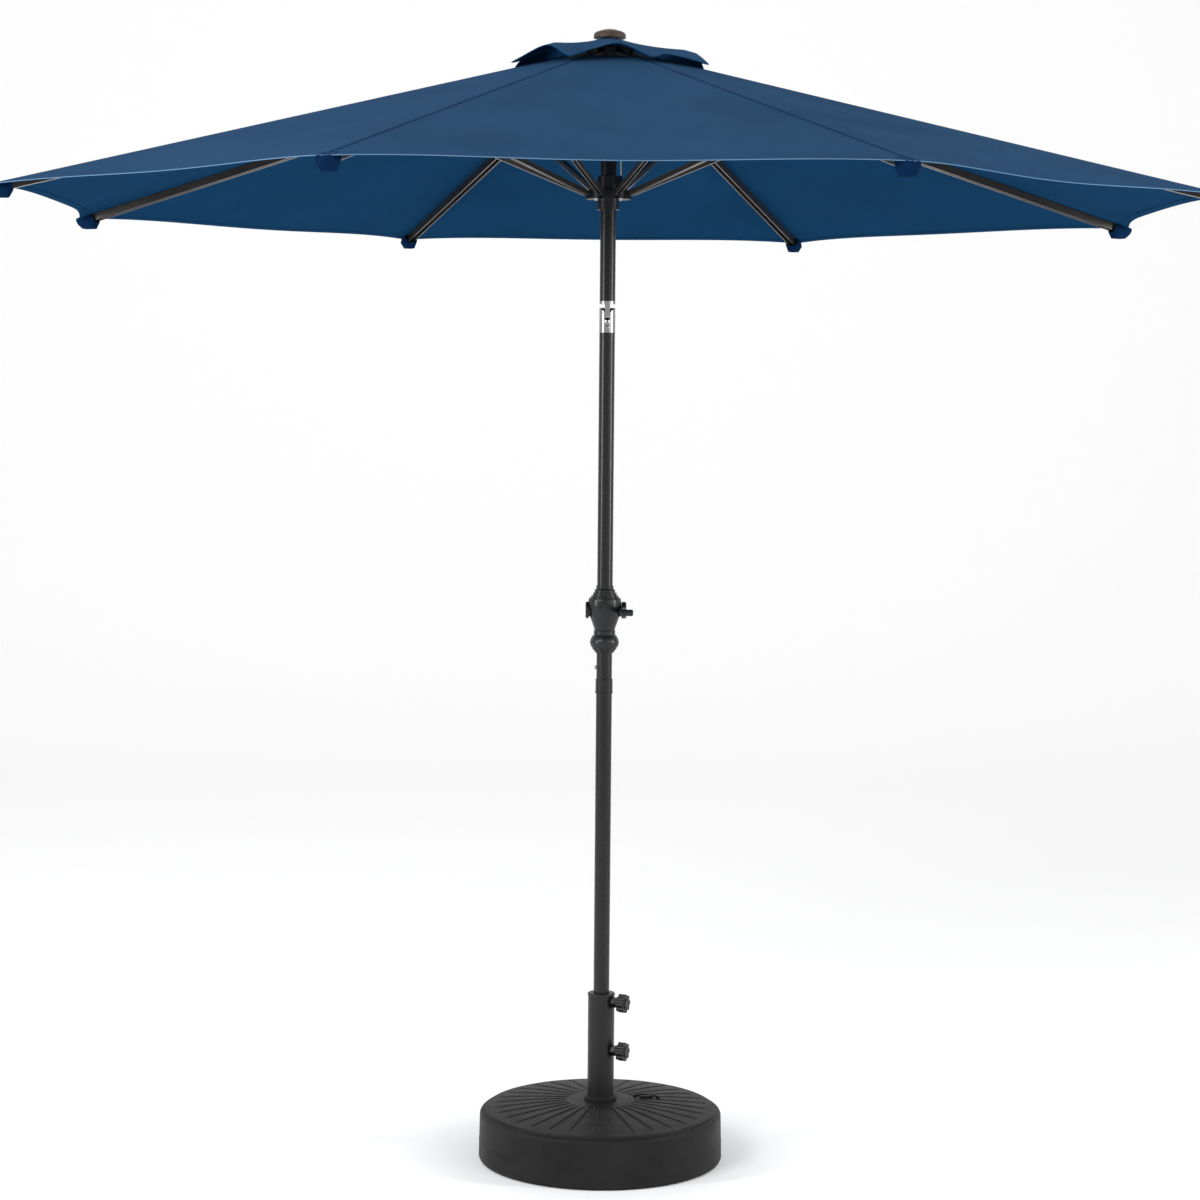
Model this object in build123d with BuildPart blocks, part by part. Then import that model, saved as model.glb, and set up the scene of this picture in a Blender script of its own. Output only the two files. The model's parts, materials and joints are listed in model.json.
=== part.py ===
from build123d import *
from math import atan, atan2, cos, degrees, hypot, radians, sin, sqrt, tan
import os

# Market umbrella, 2.6 m across, with crank lift, push-button tilt and a fillable base.
# Millimetres, +Z up along the pole, origin at the middle of the base's underside.
# The front of the umbrella, where the tilt button is, faces -Y.

# ---------------------------------------------------------------- driving dimensions
RUN_FIT = 0.08            # radial running clearance of every pin
SEAT_FIT = 0.03           # radial clearance of pieces fastened to each other

BASE_RADIUS = 262.0
BASE_RIM_Z = 106.0
BASE_CROWN_Z = 128.0
BASE_WALL = 5.0
GROOVE_COUNT = 32
GROOVE_RADIUS = 5.0
GROOVE_INNER = 74.0
GROOVE_OUTER = 229.0
GROOVE_END_DEPTH = 1.7
BASE_STEP_IN = 16.0       # the dome starts this far inside the wall
BASE_STEP_UP = 5.0        # and this far above the rim
BASE_FLAT_RADIUS = 20.0
DOME_RINGS = 6

PLUG_X = 100.0
PLUG_Y = 30.0
PLUG_RADIUS = 22.5
PLUG_RECESS_RADIUS = 30.0
PLUG_RECESS_Z = 116.0
PLUG_NECK_RADIUS = 18.0

TUBE_RADIUS = 28.5
TUBE_WALL = 2.0
TUBE_FOOT_Z = 14.0
TUBE_TOP_Z = 356.0
TUBE_CAP_Z = 361.0
FOOT_RING_RADIUS = 35.0

KNOB_HEIGHTS = {"upper": 342.0, "lower": 237.0}
KNOB_TURN = -27.0         # direction of both clamp knobs, from +X towards -Y
KNOB_RADIUS = 20.0
KNOB_LOBES = 8
KNOB_NEAR = 38.0          # distance of the knob's inner face from the pole axis
STUD_RADIUS = 5.0

LOWER_POLE_RADIUS = 17.0
POLE_RADIUS = 16.6
POLE_BORE_RADIUS = 15.4
POLE_FOOT_Z = 34.0
POLE_JOIN_Z = 1024.0
FERRULE_RADIUS = 18.3
SNAP_Z = 1064.0
SNAP_RADIUS = 4.0

CRANK_Z = 1187.0
CRANK_SHAFT_RADIUS = 4.0
CRANK_ARM_LENGTH = 74.0
HOUSING_TOP_Z = 1239.0
HOUSING_FOOT_Z = 1096.0
SPOOL_WIND_RADIUS = 11.5  # middle of the wound cord

TILT_FOOT_Z = 1776.0
TILT_AXIS_Z = 1812.0
TILT_SHOULDER_Z = 1836.0
TILT_TOP_Z = 1842.0
TILT_RADIUS = 17.0
TILT_TONGUE = 10.6
TILT_SLOT = 11.2
TILT_BUTTON_Z = 1787.0

CORD_RADIUS = 1.5
CORD_BACK = 11.5          # the cord rises this far behind the pole's axis
PULLEY_X = 13.0
PULLEY_Z = 2352.0
PULLEY_PITCH = 9.0

RIB_COUNT = 8
RIB_AZIMUTH = 22.5        # of the first rib, from +X
RIB_SLOPE = 14.5          # below the horizontal, open
RIB_PIVOT_RADIUS = 40.0
RIB_PIVOT_Z = 2356.0
RIB_TIP_RADIUS = 1290.0
RIB_WIDTH = 15.0
RIB_TOP = 6.0             # the web lies this far above the line of the pivots
RIB_DEPTH = 16.0
RIB_WALL = 1.0
STRUT_ON_RIB = 444.0      # from the hub pivot to the strut pivot, along the rib
STRUT_DROP = 5.0          # the strut pivot lies this far below the line
STRUT_WIDTH = 10.0
STRUT_DEPTH = 10.0
PIN_RADIUS = 2.0
RUNNER_PIVOT_RADIUS = 40.0
RUNNER_PIVOT_Z = 2065.0

HUB_RADIUS = 50.0
HUB_TOP_Z = 2370.0
BOSS_TOP_Z = 2386.0
FINIAL_RADIUS = 34.0
FINIAL_TOP_Z = 2411.0

CANOPY_RADIUS = 1300.0
CANOPY_THICKNESS = 0.8
CANOPY_GAP = 1.3          # above the ribs
CANOPY_VENT_RADIUS = 130.0
HEM_SAG = 40.0
VENT_RADIUS = 215.0
VENT_EDGE_RADIUS = 196.0
VENT_EDGE_Z = 2378.0

# ---------------------------------------------------------------- derived dimensions
RIB_SPACING = 360.0 / RIB_COUNT
HALF_SPACING = radians(RIB_SPACING / 2)
SLOPE = radians(RIB_SLOPE)
RIB_LENGTH = (RIB_TIP_RADIUS - RIB_PIVOT_RADIUS) / cos(SLOPE)

# the open strut runs from the runner's pivot to its pivot on the rib
strut_top_radius = RIB_PIVOT_RADIUS + STRUT_ON_RIB * cos(SLOPE) - STRUT_DROP * sin(SLOPE)
strut_top_z = RIB_PIVOT_Z - STRUT_ON_RIB * sin(SLOPE) - STRUT_DROP * cos(SLOPE)
STRUT_RUN = strut_top_radius - RUNNER_PIVOT_RADIUS
STRUT_RISE = strut_top_z - RUNNER_PIVOT_Z
STRUT_LENGTH = hypot(STRUT_RUN, STRUT_RISE)
STRUT_ANGLE = degrees(atan2(STRUT_RISE, STRUT_RUN))

# the underside of the cloth, on the axis, where the lines of all the ribs meet
CANOPY_APEX_Z = (
    RIB_PIVOT_Z + RIB_PIVOT_RADIUS * tan(SLOPE) + (RIB_TOP + CANOPY_GAP) / cos(SLOPE)
)

os.makedirs("parts", exist_ok=True)


def save(part, label):
    """Label a finished piece and write it."""
    part.label = label
    export_step(part, f"parts/{label}.step")


def side_plane(radius, height, angle):
    """An upright plane through the +X half: x runs outward at the angle, y up across it."""
    lean = radians(angle)
    return Plane(
        origin=(radius, 0, height), x_dir=(cos(lean), 0, sin(lean)), z_dir=(0, -1, 0)
    )


def tube(outer, inner, low, high):
    """A round tube on the pole's axis, made in the builder that is open."""
    with BuildSketch(Plane.XY.offset(low)) as ring:
        Circle(outer)
        Circle(inner, mode=Mode.SUBTRACT)
    extrude(ring.sketch, amount=high - low)


def bore(radius, low, high, x=0.0, y=0.0):
    """Cut a round upright hole in the builder that is open."""
    with BuildSketch(Plane.XY.offset(low)) as hole:
        with Locations((x, y)):
            Circle(radius)
    extrude(hole.sketch, amount=high - low, mode=Mode.SUBTRACT)


def cross_bore(radius, height, start, length, plane_normal=(1, 0, 0)):
    """Cut a round level hole along the normal, from start, in the builder that is open."""
    nx, ny, nz = plane_normal
    with BuildSketch(Plane(origin=(nx * start, ny * start, height), z_dir=plane_normal)) as hole:
        Circle(radius)
    extrude(hole.sketch, amount=length, mode=Mode.SUBTRACT)


# ================================================================ base
def dome_height(distance, inset=0.0):
    """The height of the base's shallow dome, part of a ball, at a distance from the axis."""
    edge = BASE_RADIUS - BASE_STEP_IN - inset
    fall = BASE_CROWN_Z - BASE_RIM_Z - BASE_STEP_UP
    ball = (edge**2 + fall**2) / (2 * fall)
    return BASE_CROWN_Z - inset - ball + sqrt(ball**2 - distance**2)


def base_outline(inset):
    """Half the section of the base, drawn in the builder line that is open."""
    radius = BASE_RADIUS - inset
    top = BASE_RIM_Z - inset
    draft = 2.0
    shoulder = 9.0
    edge = BASE_RADIUS - BASE_STEP_IN - inset
    Polyline(
        (0, inset),
        (radius - 8, inset),
        (radius - 2.5, inset + 2.5),
        (radius, inset + 8),
        (radius - draft, top - shoulder),
    )
    ThreePointArc(
        (radius - draft, top - shoulder),
        (radius - draft - shoulder * 0.29, top - shoulder * 0.29),
        (radius - draft - shoulder, top),
    )
    Polyline((radius - draft - shoulder, top), (edge + 2, top), (edge, top + BASE_STEP_UP))
    # the dome is made of flat rings; the middle, where the tube's well goes, is flat
    rings = [
        edge + (BASE_FLAT_RADIUS - edge) * share / DOME_RINGS for share in range(DOME_RINGS + 1)
    ]
    Polyline(*((ring, dome_height(ring, inset)) for ring in rings))
    middle = dome_height(BASE_FLAT_RADIUS, inset)
    Polyline((BASE_FLAT_RADIUS, middle), (0, middle), (0, inset))


WELL_RADIUS = TUBE_RADIUS + SEAT_FIT
WELL_WALL = 4.5
FOOT_BOLT_RADIUS = 5.0
FOOT_FLOOR = 4.0

# every groove is a straight round channel, deepest half way along
groove_lift = GROOVE_RADIUS - GROOVE_END_DEPTH
groove_start_z = dome_height(GROOVE_INNER) + groove_lift
groove_fall = atan2(dome_height(GROOVE_INNER) - dome_height(GROOVE_OUTER), GROOVE_OUTER - GROOVE_INNER)
groove_planes = []
for index in range(GROOVE_COUNT):
    turn = radians((index + 0.5) * 360 / GROOVE_COUNT)
    across = cos(groove_fall)
    groove_planes.append(
        Plane(
            origin=(GROOVE_INNER * cos(turn), GROOVE_INNER * sin(turn), groove_start_z),
            z_dir=(cos(turn) * across, sin(turn) * across, -sin(groove_fall)),
        )
    )

with BuildPart() as base_shell:
    with BuildSketch(Plane.XZ):
        with BuildLine():
            base_outline(0)
        make_face()
    revolve(axis=Axis.Z)
    with BuildSketch(Plane.XZ) as tank_section:
        with BuildLine():
            base_outline(BASE_WALL)
        make_face()
        # the well's wall and the sides of the filling hole stay
        with Locations((0, BASE_CROWN_Z / 2)):
            Rectangle(2 * (WELL_RADIUS + WELL_WALL), BASE_CROWN_Z, mode=Mode.SUBTRACT)
    revolve(axis=Axis.Z, mode=Mode.SUBTRACT)
    # the plug's seat is a short neck under the recess
    with BuildSketch(Plane.XY.offset(PLUG_RECESS_Z - 14)):
        with Locations((PLUG_X, PLUG_Y)):
            Circle(PLUG_RECESS_RADIUS + BASE_WALL)
    extrude(amount=18)
    bore(WELL_RADIUS, TUBE_FOOT_Z, BASE_CROWN_Z + 1)
    bore(FOOT_BOLT_RADIUS + 0.3, -1, TUBE_FOOT_Z + 1)
    bore(11.0, -1, 7)
    bore(PLUG_RECESS_RADIUS, PLUG_RECESS_Z, BASE_CROWN_Z + 2, PLUG_X, PLUG_Y)
    bore(PLUG_NECK_RADIUS, PLUG_RECESS_Z - 15, PLUG_RECESS_Z + 1, PLUG_X, PLUG_Y)
    with BuildSketch(*groove_planes):
        Circle(GROOVE_RADIUS)
    extrude(
        amount=(GROOVE_OUTER - GROOVE_INNER) / cos(groove_fall),
        mode=Mode.SUBTRACT,
    )
save(base_shell.part, "base_shell")

SEAL_WIRE = 1.2
with BuildPart() as fill_plug:
    with BuildSketch(Plane.XY.offset(PLUG_RECESS_Z + 2 * SEAL_WIRE)):
        with Locations((PLUG_X, PLUG_Y)):
            Circle(PLUG_RADIUS)
    extrude(amount=4)
    fillet(fill_plug.edges().group_by(Axis.Z)[-1], radius=1.5)
    with BuildSketch(Plane.XY.offset(PLUG_RECESS_Z - 10)):
        with Locations((PLUG_X, PLUG_Y)):
            Circle(PLUG_NECK_RADIUS - 0.3)
            Circle(PLUG_NECK_RADIUS - 3, mode=Mode.SUBTRACT)
    extrude(amount=10 + 2 * SEAL_WIRE + 1)
    # the grip is a raised bar across the plug
    with BuildSketch(Plane.XY.offset(PLUG_RECESS_Z + 6)):
        with Locations((PLUG_X, PLUG_Y)):
            SlotOverall(32, 7, rotation=20)
    extrude(amount=6)
save(fill_plug.part, "fill_plug")

with BuildPart() as fill_plug_seal:
    with BuildSketch(Plane.XZ.offset(-PLUG_Y)):
        with Locations((PLUG_X + PLUG_NECK_RADIUS + 2, PLUG_RECESS_Z + SEAL_WIRE)):
            Circle(SEAL_WIRE - 0.02)
    revolve(axis=Axis((PLUG_X, PLUG_Y, 0), (0, 0, 1)))
save(fill_plug_seal.part, "fill_plug_seal")


# ================================================================ base tube and its knobs
def knob_plane(height, distance):
    """A plane across the clamp knob's axis, its normal pointing away from the pole."""
    turn = radians(KNOB_TURN)
    return Plane(
        origin=(distance * cos(turn), distance * sin(turn), height),
        z_dir=(cos(turn), sin(turn), 0),
    )


NUT_NEAR = 27.5
NUT_FAR = KNOB_NEAR - 1.5

with BuildPart() as base_tube:
    tube(TUBE_RADIUS, TUBE_RADIUS - TUBE_WALL, TUBE_FOOT_Z, TUBE_TOP_Z)
    with BuildSketch(Plane.XY.offset(TUBE_FOOT_Z)):
        Circle(TUBE_RADIUS - TUBE_WALL / 2)
        Circle(FOOT_BOLT_RADIUS + 0.3, mode=Mode.SUBTRACT)
    extrude(amount=FOOT_FLOOR)
    for height in KNOB_HEIGHTS.values():
        # a nut for the knob's stud is welded to the tube
        with BuildSketch(knob_plane(height, NUT_NEAR)):
            RegularPolygon(10, 6, major_radius=False)
        extrude(amount=NUT_FAR - NUT_NEAR)
        with BuildSketch(knob_plane(height, NUT_NEAR - 5)):
            Circle(STUD_RADIUS + RUN_FIT)
        extrude(amount=20, mode=Mode.SUBTRACT)
save(base_tube.part, "base_tube")

with BuildPart() as foot_ring:
    tube(FOOT_RING_RADIUS, TUBE_RADIUS + SEAT_FIT, BASE_CROWN_Z + 0.1, BASE_CROWN_Z + 10)
    chamfer(foot_ring.edges().group_by(Axis.Z)[-1].sort_by(SortBy.RADIUS)[-1], length=3)
save(foot_ring.part, "foot_ring")

with BuildPart() as foot_bolt:
    with BuildSketch(Plane.XY.offset(1)):
        RegularPolygon(8, 6, major_radius=False)
    extrude(amount=6)
    with BuildSketch(Plane.XY.offset(6)):
        Circle(FOOT_BOLT_RADIUS)
    extrude(amount=TUBE_FOOT_Z + FOOT_FLOOR + 4)
    # the nut inside the tube
    with BuildSketch(Plane.XY.offset(TUBE_FOOT_Z + FOOT_FLOOR)):
        RegularPolygon(8.5, 6, major_radius=False)
        Circle(FOOT_BOLT_RADIUS + SEAT_FIT, mode=Mode.SUBTRACT)
    extrude(amount=8)
save(foot_bolt.part, "foot_bolt")

with BuildPart() as tube_cap:
    tube(TUBE_RADIUS + 1, LOWER_POLE_RADIUS + 0.4, TUBE_TOP_Z, TUBE_CAP_Z)
    fillet(tube_cap.edges().group_by(Axis.Z)[-1].sort_by(SortBy.RADIUS)[-1], radius=3)
    tube(TUBE_RADIUS - TUBE_WALL - SEAT_FIT, LOWER_POLE_RADIUS + 0.4, TUBE_TOP_Z - 60, TUBE_TOP_Z)
    with BuildSketch(knob_plane(KNOB_HEIGHTS["upper"], 10)):
        Circle(STUD_RADIUS + 1)
    extrude(amount=20, mode=Mode.SUBTRACT)
save(tube_cap.part, "tube_cap")

STUD_NEAR = LOWER_POLE_RADIUS + 0.4
for name, height in KNOB_HEIGHTS.items():
    with BuildPart() as clamp_knob:
        with BuildSketch(knob_plane(height, KNOB_NEAR + 5)):
            Circle(KNOB_RADIUS - 3.5)
            with PolarLocations(KNOB_RADIUS - 5, KNOB_LOBES):
                Circle(5)
        extrude(amount=17)
        with BuildSketch(knob_plane(height, KNOB_NEAR)):
            Circle(11)
        extrude(amount=5.5)
        with BuildSketch(knob_plane(height, KNOB_NEAR + 22)):
            Circle(12)
        extrude(amount=3, taper=25)
        with BuildSketch(knob_plane(height, KNOB_NEAR - 1)):
            Circle(STUD_RADIUS)
        extrude(amount=19, mode=Mode.SUBTRACT)
    with BuildPart() as clamp_stud:
        with BuildSketch(knob_plane(height, STUD_NEAR)):
            Circle(STUD_RADIUS)
        extrude(amount=KNOB_NEAR + 18 - STUD_NEAR)
    # the steel stud is moulded into the plastic knob and turns with it
    save(Compound(children=[clamp_knob.part, clamp_stud.part]), f"{name}_clamp_knob")

# ================================================================ pole
with BuildPart() as lower_pole:
    tube(LOWER_POLE_RADIUS, POLE_BORE_RADIUS, POLE_FOOT_Z, POLE_JOIN_Z)
save(lower_pole.part, "lower_pole")

with BuildPart() as pole_ferrule:
    tube(FERRULE_RADIUS, LOWER_POLE_RADIUS + SEAT_FIT, 1009, POLE_JOIN_Z)
    tube(FERRULE_RADIUS, POLE_RADIUS + SEAT_FIT, POLE_JOIN_Z, 1040)
    fillet(pole_ferrule.edges().group_by(Axis.Z)[-1].sort_by(SortBy.RADIUS)[-1], radius=1)
    # a bead and a groove run round the lower edge
    tube(FERRULE_RADIUS + 1, FERRULE_RADIUS - 0.3, 1009, 1012)
save(pole_ferrule.part, "pole_ferrule")

JOINER_RADIUS = POLE_BORE_RADIUS - SEAT_FIT
JOINER_WALL = 1.5
with BuildPart() as pole_joiner:
    tube(JOINER_RADIUS, JOINER_RADIUS - JOINER_WALL, POLE_JOIN_Z - 90, POLE_JOIN_Z + 80)
    cross_bore(SNAP_RADIUS + RUN_FIT, SNAP_Z, 5, 20, (-1, 0, 0))
save(pole_joiner.part, "pole_joiner")

with BuildPart() as snap_button:
    with BuildSketch(Plane(origin=(-11.2, 0, SNAP_Z), z_dir=(-1, 0, 0))):
        Circle(5.5)
    extrude(amount=1.2)
    with BuildSketch(Plane(origin=(-12, 0, SNAP_Z), z_dir=(-1, 0, 0))):
        Circle(SNAP_RADIUS)
    extrude(amount=8.6)
    fillet(snap_button.edges().group_by(Axis.X)[0], radius=2)
save(snap_button.part, "snap_button")

with BuildPart() as snap_spring:
    # a flat leaf spring, bent to a V inside the joiner
    with BuildSketch(Plane.XZ):
        with BuildLine():
            Polyline((-10.7, 1070), (-10.7, 1056), (0, 1022), (12.6, 1060))
            offset(amount=0.4, side=Side.BOTH)
        make_face()
    extrude(amount=3.5, both=True)
save(snap_spring.part, "snap_spring")

with BuildPart() as middle_pole:
    tube(POLE_RADIUS, POLE_BORE_RADIUS, POLE_JOIN_Z, TILT_FOOT_Z)
    cross_bore(SNAP_RADIUS + RUN_FIT, SNAP_Z, 5, 20, (-1, 0, 0))
    cross_bore(CRANK_SHAFT_RADIUS + 1, CRANK_Z, -25, 50)
save(middle_pole.part, "middle_pole")

# ================================================================ crank
HOUSING_RADIUS = 35.5
LOWER_BULB_RADIUS = 30.9
NECK_RADIUS = 23.0


def housing_outline():
    """Half the section of the urn-shaped housing, drawn in the builder line that is open."""
    hole = POLE_RADIUS + SEAT_FIT
    # three rings step out to the lower bulb
    Polyline(
        (hole, HOUSING_FOOT_Z),
        (20, HOUSING_FOOT_Z),
        (20, 1099.5),
        (23, 1100),
        (23, 1103),
        (26, 1103.5),
        (26, 1107),
        (28, 1108),
    )
    Spline(
        (28, 1108),
        (LOWER_BULB_RADIUS, 1119),
        (25.5, 1132.5),
        tangents=((0.6, 1), (-0.6, 1)),
    )
    Line((25.5, 1132.5), (NECK_RADIUS, 1134.5))
    Line((NECK_RADIUS, 1134.5), (NECK_RADIUS, 1143))
    Line((NECK_RADIUS, 1143), (NECK_RADIUS - 1.2, 1145))
    Spline(
        (NECK_RADIUS - 1.2, 1145),
        (29.2, 1166.6),
        (HOUSING_RADIUS, 1200),
        (33, 1213.4),
        tangents=((0.25, 1), (-0.6, 1)),
    )
    Polyline(
        (33, 1213.4),
        (29.5, 1213.4),
        (29.5, 1218),
        (25.5, 1218),
        (25.5, 1224),
        (22, 1224),
        (22, 1230.5),
        (18.6, 1232.5),
        (18.6, HOUSING_TOP_Z),
        (hole, HOUSING_TOP_Z),
        (hole, HOUSING_FOOT_Z),
    )


SIDE_BOSS_RADIUS = 14.0
CAP_RADIUS = 18.0
HOUSING_SCREW_HEIGHTS = (1116.0, 1206.0)
HOUSING_SCREW_X = 21.5
housing_halves = {}
for name, side in (("front", -1), ("back", 1)):
    with BuildPart() as housing:
        with BuildSketch(Plane.XZ):
            with BuildLine():
                housing_outline()
            make_face()
        revolve(axis=Axis.Z)
        # level bosses carry the crank's shaft
        with BuildSketch(Plane.YZ.offset(20)):
            with Locations((0, CRANK_Z)):
                Circle(SIDE_BOSS_RADIUS)
        extrude(amount=15.5)
        with BuildSketch(Plane.YZ.offset(-34)):
            with Locations((0, CRANK_Z)):
                Circle(SIDE_BOSS_RADIUS)
        extrude(amount=14)
        # a flat seat for the side cap
        with BuildSketch(Plane.YZ.offset(-34)):
            with Locations((0, CRANK_Z)):
                Circle(CAP_RADIUS + 0.3)
        extrude(amount=-10, mode=Mode.SUBTRACT)
        # the pole has room between the bosses
        tube_room = POLE_RADIUS + 0.5
        bore(tube_room, CRANK_Z - 20, CRANK_Z + 20)
        cross_bore(CRANK_SHAFT_RADIUS + RUN_FIT, CRANK_Z, -40, 80)
        for height in HOUSING_SCREW_HEIGHTS:
            for x in (-HOUSING_SCREW_X, HOUSING_SCREW_X):
                with BuildSketch(Plane(origin=(x, -8, height), z_dir=(0, 1, 0))):
                    Circle(1.5)
                extrude(amount=60, mode=Mode.SUBTRACT)
                with BuildSketch(Plane(origin=(x, 12, height), z_dir=(0, 1, 0))):
                    Circle(3.2)
                extrude(amount=40, mode=Mode.SUBTRACT)
        split(bisect_by=Plane.XZ, keep=Keep.TOP if side < 0 else Keep.BOTTOM)
    save(housing.part, f"crank_housing_{name}")

with BuildPart() as housing_screws:
    for height in HOUSING_SCREW_HEIGHTS:
        for x in (-HOUSING_SCREW_X, HOUSING_SCREW_X):
            with BuildSketch(Plane(origin=(x, -7.5, height), z_dir=(0, 1, 0))):
                Circle(1.45)
            extrude(amount=20)
            with BuildSketch(Plane(origin=(x, 12.02, height), z_dir=(0, 1, 0))):
                Circle(3)
            extrude(amount=2)
save(housing_screws.part, "housing_screws")

with BuildPart() as crank_side_cap:
    with BuildSketch(Plane.YZ.offset(-41)):
        with Locations((0, CRANK_Z)):
            Circle(CAP_RADIUS)
    extrude(amount=6.9)
    fillet(crank_side_cap.edges().group_by(Axis.X)[0], radius=3)
    with BuildSketch(Plane.YZ.offset(-37.5)):
        with Locations((0, CRANK_Z)):
            Circle(CRANK_SHAFT_RADIUS + 1)
    extrude(amount=5, mode=Mode.SUBTRACT)
save(crank_side_cap.part, "crank_side_cap")

ARM_NEAR = 36.0
ARM_FAR = 46.0
with BuildPart() as crank_shaft:
    with BuildSketch(Plane.YZ.offset(-36)):
        with Locations((0, CRANK_Z)):
            Circle(CRANK_SHAFT_RADIUS)
    extrude(amount=36 + ARM_FAR - 2)
save(crank_shaft.part, "crank_shaft")

SPOOL_FLANGE_RADIUS = 14.0
SPOOL_CORE_RADIUS = SPOOL_WIND_RADIUS - CORD_RADIUS - 0.1
SPOOL_HALF = 5.0
with BuildPart() as cord_spool:
    with BuildSketch(Plane.YZ.offset(-SPOOL_HALF)):
        with Locations((0, CRANK_Z)):
            Circle(SPOOL_CORE_RADIUS)
    extrude(amount=2 * SPOOL_HALF)
    for start in (-SPOOL_HALF, SPOOL_HALF - 1.2):
        with BuildSketch(Plane.YZ.offset(start)):
            with Locations((0, CRANK_Z)):
                Circle(SPOOL_FLANGE_RADIUS)
        extrude(amount=1.2)
    with BuildSketch(Plane.YZ.offset(-SPOOL_HALF)):
        with Locations((0, CRANK_Z)):
            Circle(CRANK_SHAFT_RADIUS + SEAT_FIT)
    extrude(amount=2 * SPOOL_HALF, mode=Mode.SUBTRACT)
save(cord_spool.part, "cord_spool")

CRANK_KNOB_RADIUS = 7.0
CRANK_KNOB_PIN = 3.0
with BuildPart() as crank_arm:
    # a round hub, a flat arm towards the front and a pin for the knob
    with BuildSketch(Plane.YZ.offset(ARM_NEAR)):
        with Locations((0, CRANK_Z)):
            Circle(CAP_RADIUS)
    extrude(amount=ARM_FAR - ARM_NEAR)
    fillet(crank_arm.edges().group_by(Axis.X)[-1], radius=3)
    with BuildSketch(Plane.YZ.offset(ARM_NEAR + 1)):
        with Locations((-CRANK_ARM_LENGTH / 2, CRANK_Z)):
            SlotCenterToCenter(CRANK_ARM_LENGTH, 16)
    extrude(amount=6)
    with BuildSketch(Plane.YZ.offset(ARM_NEAR + 6)):
        with Locations((-CRANK_ARM_LENGTH, CRANK_Z)):
            Circle(CRANK_KNOB_PIN)
    extrude(amount=14.6)
    with BuildSketch(Plane.YZ.offset(ARM_NEAR - 1)):
        with Locations((0, CRANK_Z)):
            Circle(CRANK_SHAFT_RADIUS + SEAT_FIT)
    extrude(amount=ARM_FAR - ARM_NEAR - 1, mode=Mode.SUBTRACT)
save(crank_arm.part, "crank_arm")

with BuildPart() as crank_knob:
    with BuildSketch(Plane.YZ.offset(ARM_NEAR + 7.4)):
        with Locations((-CRANK_ARM_LENGTH, CRANK_Z)):
            Circle(CRANK_KNOB_RADIUS)
    extrude(amount=15.6)
    fillet(crank_knob.edges().group_by(Axis.X)[-1], radius=3)
    with BuildSketch(Plane.YZ.offset(ARM_NEAR + 7)):
        with Locations((-CRANK_ARM_LENGTH, CRANK_Z)):
            Circle(CRANK_KNOB_PIN + RUN_FIT)
    extrude(amount=13.8, mode=Mode.SUBTRACT)
save(crank_knob.part, "crank_knob")

# ================================================================ tilt joint
PLUG_LENGTH = 34.0
CHEEK_TOP = 16.0
with BuildPart() as tilt_lower_joint:
    with BuildSketch(Plane.XY.offset(TILT_FOOT_Z - PLUG_LENGTH)):
        Circle(POLE_BORE_RADIUS - SEAT_FIT)
    extrude(amount=PLUG_LENGTH)
    with BuildSketch(Plane.XY.offset(TILT_FOOT_Z)):
        Circle(TILT_RADIUS)
    extrude(amount=TILT_AXIS_Z - TILT_FOOT_Z + CHEEK_TOP)
    # the cheeks are rounded over the hinge
    with BuildSketch(Plane.YZ):
        with Locations((0, TILT_AXIS_Z + 30)):
            Rectangle(80, 60)
        with Locations((0, TILT_AXIS_Z)):
            Circle(TILT_RADIUS, mode=Mode.SUBTRACT)
    extrude(amount=40, both=True, mode=Mode.SUBTRACT)
    with BuildSketch(Plane.XZ):
        with Locations((0, TILT_AXIS_Z + 34)):
            Rectangle(TILT_SLOT, 100 - TILT_SLOT / 2 + 5)
    extrude(amount=40, both=True, mode=Mode.SUBTRACT)
    bore(2.2, TILT_FOOT_Z - PLUG_LENGTH - 1, TILT_AXIS_Z, 0, CORD_BACK)
    cross_bore(3 + SEAT_FIT, TILT_AXIS_Z, -20, 40)
    # the button slides in a level hole, and its lug in a slit up into the slot
    with BuildSketch(Plane(origin=(0, 7, TILT_BUTTON_Z), z_dir=(0, -1, 0))):
        Circle(4)
    extrude(amount=30, mode=Mode.SUBTRACT)
    with BuildSketch(Plane.XY.offset(TILT_BUTTON_Z)):
        with Locations((0, -6)):
            Rectangle(5.6, 11)
    extrude(amount=20, mode=Mode.SUBTRACT)
save(tilt_lower_joint.part, "tilt_lower_joint")

with BuildPart() as tilt_upper_joint:
    with BuildSketch(Plane.YZ):
        with Locations((0, TILT_AXIS_Z)):
            Circle(9.5)
        with Locations((0, (TILT_AXIS_Z + TILT_TOP_Z) / 2)):
            Rectangle(19, TILT_TOP_Z - TILT_AXIS_Z)
    extrude(amount=TILT_TONGUE / 2, both=True)
    with BuildSketch(Plane.XY.offset(TILT_SHOULDER_Z)):
        Circle(TILT_RADIUS)
    extrude(amount=TILT_TOP_Z - TILT_SHOULDER_Z)
    with BuildSketch(Plane.XY.offset(TILT_TOP_Z)):
        Circle(POLE_BORE_RADIUS - SEAT_FIT)
    extrude(amount=PLUG_LENGTH)
    bore(2.2, TILT_AXIS_Z, TILT_TOP_Z + PLUG_LENGTH + 1, 0, CORD_BACK)
    cross_bore(3 + RUN_FIT, TILT_AXIS_Z, -20, 40)
save(tilt_upper_joint.part, "tilt_upper_joint")

with BuildPart() as tilt_pin:
    with BuildSketch(Plane.YZ.offset(-16)):
        with Locations((0, TILT_AXIS_Z)):
            Circle(3)
    extrude(amount=32)
save(tilt_pin.part, "tilt_pin")

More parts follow.
